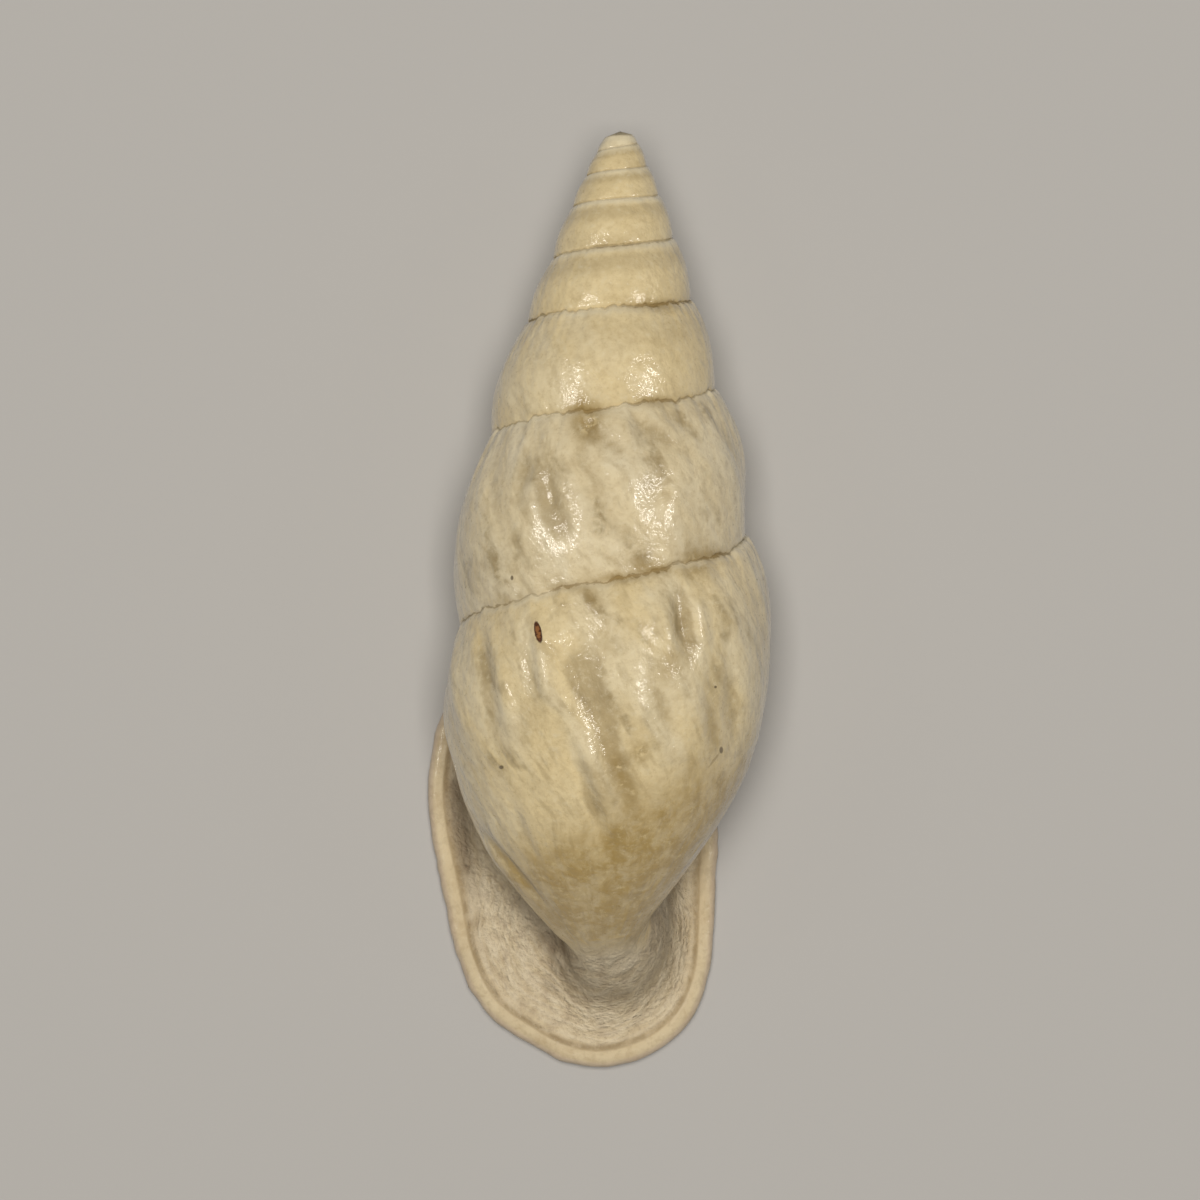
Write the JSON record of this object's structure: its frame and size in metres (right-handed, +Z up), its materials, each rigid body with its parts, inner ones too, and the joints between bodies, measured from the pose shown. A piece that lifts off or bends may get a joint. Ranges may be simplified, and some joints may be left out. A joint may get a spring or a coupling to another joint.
{
  "type": "land snail shell",
  "caption": "Tall spiral land snail shell lying on its aperture, with a broad flared lip and small teeth inside the mouth.",
  "frame": {"origin": "middle of the bounding box, on the surface that the lip and the last whorl's belly rest on", "axes": "+Y along the shell's axis towards the tip, +Z up out of the back of the shell, the aperture facing -Z"},
  "size_m": [0.0186, 0.0505, 0.0174],
  "materials": {
    "shell": "glossy cream calcium carbonate with grey-tan streaks"
  },
  "bodies": {
    "root": {"shell": "shell"}
  },
  "joints": []
}
